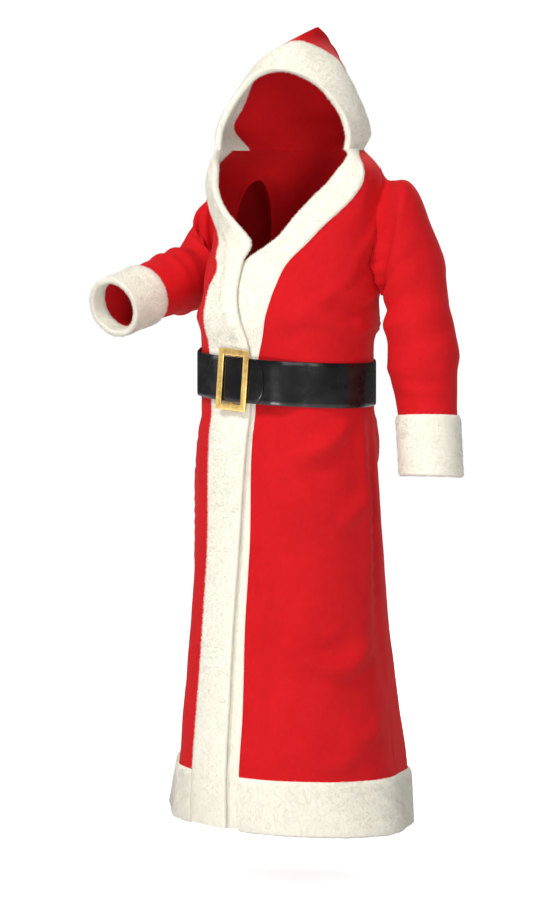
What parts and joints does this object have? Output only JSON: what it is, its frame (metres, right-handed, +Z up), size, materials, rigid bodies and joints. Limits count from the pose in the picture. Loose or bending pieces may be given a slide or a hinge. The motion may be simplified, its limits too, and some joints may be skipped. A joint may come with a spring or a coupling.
{
  "type": "santa suit",
  "caption": "Floor-length hooded robe of red velour with white plush trim, laps right over left, closed by a wide black belt with a gold rectangular buckle; worn pose, hollow",
  "frame": {"origin": "base of the wearer's neck, between the shoulders, where the wearer holds the robe up", "axes": "+Z up, -Y to the front, +X to the wearer's left"},
  "size_m": [0.7717, 0.5529, 1.7511],
  "materials": {
    "velour": "soft matt velour with a short nap",
    "plush": "short dense plush, cream white",
    "vinyl": "smooth glossy vinyl",
    "gold": "satin gold plate"
  },
  "bodies": {
    "root": {"back": "velour", "front_right": "velour", "front_left": "velour", "sleeve_right": "velour", "sleeve_left": "velour", "hood_right": "velour", "hood_left": "velour", "hood_band": "plush", "front_band_right": "plush", "front_band_left": "plush", "cuff_right": "plush", "cuff_left": "plush", "hem_band_back": "plush", "hem_band_right": "plush", "hem_band_left": "plush", "belt": "vinyl", "buckle": "gold"}
  },
  "joints": []
}
